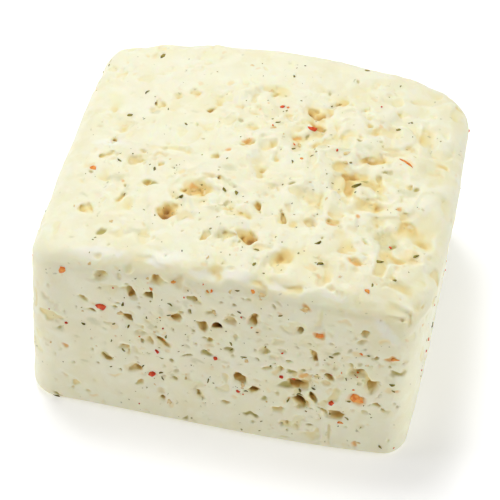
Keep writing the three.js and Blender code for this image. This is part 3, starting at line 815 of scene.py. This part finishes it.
def cheese_material():
    """Moist white curd with soft spots over buried bits, and painted shade that makes it warmer and darker
    down in its openings and hollows.
    """
    material, nodes, links, shader = new_material("fresh_cheese")
    place = nodes.new("ShaderNodeTexCoord").outputs["Object"]
    painted_shade_depth = nodes.new("ShaderNodeAttribute")
    painted_shade_depth.attribute_name = "painted_shade_depth"
    patches = texture(nodes, links, "ShaderNodeTexNoise", place, scale=130.0, detail=2.0)
    weak, strong = (share / HOLLOW_DEPTH for share in HOLLOW_STRENGTHS)
    strength = stretch(nodes, links, patches.outputs["Fac"], 0.3, 0.7, weak, strong)
    down = multiply(nodes, links, painted_shade_depth.outputs["Fac"], strength)
    # Painted shade: the curd turns warmer and darker with depth.
    colour = ramp(nodes, links, down, CURD_AND_SHADE_TONES)
    stain_and_highlight = nodes.new("ShaderNodeAttribute")
    stain_and_highlight.attribute_name = "stain_and_highlight"
    for scale, low, high, most, tone in DRIFTS:
        drift = texture(nodes, links, "ShaderNodeTexNoise", place, scale=scale, detail=3.0)
        amount = stretch(nodes, links, drift.outputs["Fac"], low, high, 0, most)
        bare = stretch(nodes, links, down, 0.05, 0.15, 1, 0)
        colour = blend_colour(nodes, links, multiply(nodes, links, amount, bare), colour, tone)
    warp = texture(nodes, links, "ShaderNodeTexNoise", place, scale=330.0, detail=3.0)
    offset = nodes.new("ShaderNodeVectorMath")
    offset.operation = "MULTIPLY_ADD"
    links.new(warp.outputs["Color"], offset.inputs[0])
    offset.inputs[1].default_value = (0.0045, 0.0045, 0.0045)
    links.new(place, offset.inputs[2])
    for scale, size, bare_share, most, spot in SOFT_SPOTS:
        cells = texture(nodes, links, "ShaderNodeTexVoronoi", offset.outputs[0], scale=scale)
        near = stretch(nodes, links, cells.outputs["Distance"], size, 0.15 * size)
        split = nodes.new("ShaderNodeSeparateColor")
        links.new(cells.outputs["Color"], split.inputs[0])
        chosen = stretch(nodes, links, split.outputs[0], bare_share, bare_share + 0.04)
        strength = stretch(nodes, links, split.outputs[1], 0, 1, 0.25 * most, most)
        amount = multiply(nodes, links, multiply(nodes, links, near, chosen), strength)
        colour = blend_colour(nodes, links, amount, colour, spot)
    shallow = stretch(nodes, links, down, 0.25, 0.5, 1, 0)
    # The stains, with the lips' painted highlight, only where the curd is shallow.
    amount = multiply(nodes, links, stain_and_highlight.outputs["Alpha"], shallow)
    colour = blend_colour(nodes, links, amount, colour, stain_and_highlight.outputs["Color"])
    links.new(colour, shader.inputs["Base Color"])
    sheen_map = texture(nodes, links, "ShaderNodeTexNoise", place, scale=420.0, detail=4.0)
    rough = stretch(nodes, links, sheen_map.outputs["Fac"], 0.3, 0.7, 0.42, 0.62)
    links.new(rough, shader.inputs["Roughness"])
    shader.inputs["Specular IOR Level"].default_value = 0.3
    shader.inputs["Subsurface Weight"].default_value = 0.75
    shader.inputs["Subsurface Radius"].default_value = (1.0, 0.8, 0.5)
    shader.inputs["Subsurface Scale"].default_value = 0.0008
    pores = texture(nodes, links, "ShaderNodeTexNoise", place, scale=1300.0, detail=5.0, roughness=0.62)
    bump = nodes.new("ShaderNodeBump")
    bump.inputs["Strength"].default_value = 0.3
    bump.inputs["Distance"].default_value = 0.0003
    links.new(pores.outputs["Fac"], bump.inputs["Height"])
    links.new(bump.outputs["Normal"], shader.inputs["Normal"])
    return material


def bit_material(name, dark, light, roughness, gloss=0.2, soft=0.0):
    """A bit of herb or pepper: two tones in fine streaks, with a wrinkled skin."""
    material, nodes, links, shader = new_material(name)
    place = nodes.new("ShaderNodeTexCoord").outputs["Object"]
    grain = texture(nodes, links, "ShaderNodeTexNoise", place, scale=900.0, detail=4.0)
    amount = stretch(nodes, links, grain.outputs["Fac"], 0.35, 0.65)
    links.new(blend_colour(nodes, links, amount, dark, light), shader.inputs["Base Color"])
    wrinkle = texture(nodes, links, "ShaderNodeTexNoise", place, scale=2600.0, detail=3.0)
    rough = stretch(nodes, links, wrinkle.outputs["Fac"], 0.3, 0.7, roughness - 0.08, roughness + 0.1)
    links.new(rough, shader.inputs["Roughness"])
    shader.inputs["Specular IOR Level"].default_value = gloss
    shader.inputs["Subsurface Weight"].default_value = soft
    shader.inputs["Subsurface Radius"].default_value = (1.0, 0.5, 0.25)
    shader.inputs["Subsurface Scale"].default_value = 0.0008
    bump = nodes.new("ShaderNodeBump")
    bump.inputs["Strength"].default_value = 0.35
    bump.inputs["Distance"].default_value = 0.00015
    links.new(wrinkle.outputs["Fac"], bump.inputs["Height"])
    links.new(bump.outputs["Normal"], shader.inputs["Normal"])
    return material


# Herb flakes and pepper bits.


def chip(rng, length, breadth, thickness, corners):
    """Points and faces of a thin ragged plate round the origin, bent along its length, bevelled above."""
    turns = (np.arange(corners) + rng.uniform(-0.35, 0.35, corners)) * 2 * math.pi / corners
    reach = rng.uniform(0.7, 1.15, corners)
    outline = np.stack([np.cos(turns) * length / 2, np.sin(turns) * breadth / 2], axis=1) * reach[:, None]
    along = 2 * outline[:, 0] / length
    outline[:, 1] += rng.uniform(-0.2, 0.2) * length * along**2
    curl = rng.uniform(-0.2, 0.25) * thickness
    rings = []
    for share, height in ((0.8, -0.5), (1, -0.1), (1, 0.2), (0.78, 0.5)):
        lift = height * thickness + curl * along**2
        rings.append(np.column_stack([outline * share, lift + rng.uniform(-0.08, 0.08, corners) * thickness]))
    middles = [[*outline.mean(axis=0), 0.5 * thickness], [*outline.mean(axis=0), -0.5 * thickness]]
    faces = []
    for i in range(corners):
        j = (i + 1) % corners
        for k in range(3):
            low, high = k * corners, (k + 1) * corners
            faces.append((low + i, low + j, high + j, high + i))
        top = 3 * corners
        faces.append((top + i, top + j, 4 * corners))
        faces.append((j, i, 4 * corners + 1))
    return np.vstack(rings + [middles]), faces


class Skin:
    """The finished block's surface, to lay bits on."""

    def __init__(self, thing):
        self.tree = BVHTree.FromObject(thing, bpy.context.evaluated_depsgraph_get())

    def at(self, name, a, b):
        """The point straight in from outside a face, in millimetres, and the outward direction there."""
        face = Vector(FACES[name][0])
        start = Vector(place_on(name, a, b)) * METRE + face * WIDTH * METRE
        point, normal, _, _ = self.tree.ray_cast(start, -face)
        return (None, None) if point is None else (np.array(point) / METRE, np.array(normal))


def lay(skin, rng, rows, thickness, proud, corners):
    """Points and faces of chips laid in the skin. Each row is face, a, b, length, breadth, tilt."""
    points, faces, total = [], [], 0
    for name, a, b, length, breadth, tilt in rows:
        spot, out = skin.at(name, a, b)
        if spot is None:
            continue
        face = np.array(FACES[name][0], float)
        out = out + 0.8 * face
        out /= np.linalg.norm(out)
        along, across = turned(name, out, tilt)
        thick = min(thickness * rng.uniform(0.8, 1.2), 0.6 * breadth)
        own, own_faces = chip(rng, length, breadth, thick, corners)
        middle = spot + out * (proud * rng.uniform(0.4, 1) - thick / 2)
        points.append(own @ np.stack([along, across, out]) + middle)
        faces += [tuple(i + total for i in f) for f in own_faces]
        total += len(own)
    return np.vstack(points), faces


def scatter(rng, counts, lengths, breadths, power=2.0, crowded=True):
    """Rows of bits strewn over the faces, small ones most often."""
    rows = []
    for name, count in counts.items():
        _, half_width, low, high = FACES[name]
        made = 0
        while made < count:
            place = (rng.uniform(-half_width - 4, half_width + 4), rng.uniform(low - 4, high + 4))
            if crowded and rng.random() > crowding(name, place):
                continue
            length = between(lengths, rng.random() ** power)
            rows.append((name, *place, length, length * between(breadths, rng.random()), rng.uniform(0, 180)))
            made += 1
    return rows


RED_BITS = [
    ("front", -31, 37.5, 2.6, 2.4, 10),
    ("front", -16.5, 25.5, 1.7, 1, -60),
    ("front", -18, 16.5, 2.6, 2.1, 70),
    ("front", 28.5, 18, 1.9, 1.3, 80),
    ("front", 28, 27, 1, 0.7, 0),
    ("top", 11.5, 13.5, 2.7, 1.5, 15),
    ("right", 33, 43, 1, 0.6, 90),
    ("right", -26, 26, 1.5, 0.8, 90),
    ("right", -25, 20, 0.9, 0.6, 90),
]
ORANGE_BITS = [
    ("front", -40.5, 47.5, 2.8, 2, 80),
    ("front", 34.5, 20.5, 4.2, 4, 0),
    ("front", 24.5, 41.5, 2.6, 2.1, 20),
    ("front", 43, 36, 2.4, 1.1, 15),
    ("front", 31, 11.5, 1.8, 1.2, 0),
    ("front", -15, 29, 1.5, 1.2, 0),
    ("top", -41, -9.5, 2.2, 1.8, 0),
    ("top", 36.5, 9, 5, 0.9, -30),
]
PALE_BITS = [
    ("front", 10, 51, 3, 2.2, 0),
    ("front", 20.5, 49.5, 2.4, 1.6, 0),
    ("front", -13.5, 7.5, 3.6, 1.7, 85),
    ("front", 35.5, 4.5, 2.4, 1.4, 0),
    ("top", -14, -13, 2.4, 1.8, 20),
    ("top", 1.5, 12, 2.2, 1.8, 0),
]
HERBS = [
    ("top", 35.5, -26.5, 2.8, 1, 0),
    ("top", 44, -22, 2.2, 0.7, 55),
    ("top", 20.5, -25, 1.9, 0.8, 50),
    ("top", 6.5, -35.5, 1.7, 0.8, 70),
    ("top", 35.5, -34.5, 1.7, 0.5, 88),
    ("top", -34, 36, 2.2, 1.4, 70),
    ("top", 21, 41, 1.8, 0.8, 0),
    ("top", -34.5, 20.5, 1.8, 0.6, 60),
    ("top", -6, -13, 1.6, 0.9, -45),
    ("top", 33, 20.5, 1.4, 0.8, 0),
    ("top", 26, -3, 2.8, 1.1, 20),
    ("top", -16, -17, 1.5, 1, 30),
    ("front", -44.5, 1, 2, 0.9, -15),
]


def dress(block_piece):
    """The herb flakes and pepper bits, one piece for each kind."""
    skin = Skin(block_piece)
    rng = np.random.default_rng(BIT_SEED)
    kinds = (
        (
            "red_pepper_bits", "red_pepper", RED_BITS, 0.7, 0.3, 9,
            ({"front": 14, "top": 4, "back": 12, "left": 7, "right": 4}, (0.5, 1.4), (0.5, 0.9)),
            bit_material("red_pepper_skin", (0.55, 0.035, 0.01), (0.86, 0.13, 0.035), 0.45, soft=0.3),
        ),
        (
            "orange_pepper_bits", "orange_pepper", ORANGE_BITS, 0.6, 0.2, 9,
            ({"front": 18, "top": 5, "back": 12, "left": 8, "right": 3}, (0.6, 1.8), (0.5, 0.9)),
            bit_material("orange_pepper_skin", (0.84, 0.2, 0.03), (0.95, 0.42, 0.09), 0.42, soft=0.2),
        ),
        (
            "pale_pepper_bits", "orange_pepper", PALE_BITS, 0.6, 0.04, 9,
            ({"front": 20, "top": 14, "back": 16, "left": 10, "right": 4}, (0.8, 2.2), (0.5, 0.9)),
            bit_material("pale_pepper_skin", (0.78, 0.55, 0.22), (0.9, 0.72, 0.4), 0.45, soft=0.5),
        ),
        (
            "herb_flakes", "herb", HERBS, 0.35, 0.2, 9,
            ({"front": 64, "top": 40, "back": 50, "left": 24, "right": 10}, (0.5, 1.9), (0.2, 0.6)),
            bit_material("dried_herb", (0.13, 0.11, 0.02), (0.36, 0.31, 0.075), 0.8, gloss=0.05),
        ),
        (
            "herb_specks", "herb", [], 0.25, 0.05, 6,
            ({"front": 110, "top": 130, "back": 100, "left": 50, "right": 40}, (0.25, 0.9), (0.4, 0.9)),
            bit_material("herb_dust", (0.2, 0.17, 0.04), (0.52, 0.47, 0.2), 0.8, gloss=0.05, soft=0.3),
        ),
    )
    for name, slot, shown, thickness, proud, corners, strewing, material in kinds:
        rows = shown + scatter(rng, *strewing)
        points, faces = lay(skin, rng, rows, thickness, proud, corners)
        piece = mesh_object(name, points, faces)
        piece.data.materials.append(material)
        piece.data.shade_smooth()
        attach(piece, "root")


# Studio.

# The photograph's view: degrees round and above the block, distance and shift in millimetres.
VIEW_ROUND, VIEW_ABOVE = 12.2, 48.1
VIEW_DISTANCE = 516
VIEW_SHIFT_RIGHT, VIEW_SHIFT_UP = -2.1, -5.1
LENS = 140.3
SENSOR = 36


def add_camera():
    turn, rise = math.radians(VIEW_ROUND), math.radians(VIEW_ABOVE)
    back = Vector((math.sin(turn) * math.cos(rise), -math.cos(turn) * math.cos(rise), math.sin(rise)))
    right = Vector((math.cos(turn), math.sin(turn), 0))
    up = back.cross(right)
    target = Vector((0, 0, HEIGHT / 2)) + right * VIEW_SHIFT_RIGHT + up * VIEW_SHIFT_UP
    data = bpy.data.cameras.new("camera")
    data.lens = LENS
    data.sensor_width = SENSOR
    camera = bpy.data.objects.new("camera", data)
    camera.location = (target + back * VIEW_DISTANCE) * METRE
    camera.rotation_euler = back.to_track_quat("Z", "Y").to_euler()
    bpy.context.scene.collection.objects.link(camera)
    bpy.context.scene.camera = camera


# Soft square lights that face the block: name, place in metres, size in metres, power in watts and colour.
LIGHTS = [
    ("above", (-0.16, 0.24, 0.83), 0.24, 3.35, (1, 1, 1)),
    ("front", (0.1, -0.7, 0.6), 0.4, 0.54, (1, 0.77, 0.5)),
    ("right", (0.75, -0.1, 0.45), 0.4, 2.1, (1, 1, 1)),
    ("left", (-0.75, -0.1, 0.45), 0.4, 2, (1, 1, 1)),
    ("back", (-0.2, 0.8, 0.5), 0.4, 1.2, (1, 1, 1)),
]
SKY_STRENGTH = 0.2
SKY_COLOUR = (1, 0.985, 0.94, 1)
FLOOR_REACH = 2
FLOOR_GLOW = 0.26
FLOOR_COLOUR = (0.95, 0.96, 0.98, 1)


def add_light(name, place, size, power, colour):
    data = bpy.data.lights.new(name, "AREA")
    data.size = size
    data.energy = power
    data.color = colour
    lamp = bpy.data.objects.new(name, data)
    lamp.location = place
    towards = Vector((0, 0, 0.03)) - lamp.location
    lamp.rotation_euler = towards.to_track_quat("-Z", "Y").to_euler()
    bpy.context.scene.collection.objects.link(lamp)


def add_studio():
    """A white floor, an even sky and soft lights all round."""
    corners = np.array([(-1, -1, 0), (1, -1, 0), (1, 1, 0), (-1, 1, 0)])
    floor = mesh_object("floor", corners * FLOOR_REACH / METRE, [(0, 1, 2, 3)])
    material, nodes, links, shader = new_material("studio_floor")
    shader.inputs["Base Color"].default_value = FLOOR_COLOUR
    shader.inputs["Roughness"].default_value = 0.9
    shader.inputs["Emission Color"].default_value = FLOOR_COLOUR
    shader.inputs["Emission Strength"].default_value = FLOOR_GLOW
    floor.data.materials.append(material)
    world = bpy.data.worlds.new("studio")
    world.use_nodes = True
    world.node_tree.nodes["Background"].inputs["Color"].default_value = SKY_COLOUR
    world.node_tree.nodes["Background"].inputs["Strength"].default_value = SKY_STRENGTH
    bpy.context.scene.world = world
    for row in LIGHTS:
        add_light(*row)
    bpy.context.scene.view_settings.view_transform = "Standard"


add_camera()
add_studio()
cheese = cheese_block()
cheese.data.materials.append(cheese_material())
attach(cheese, "root")
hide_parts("cheese")
dress(cheese)
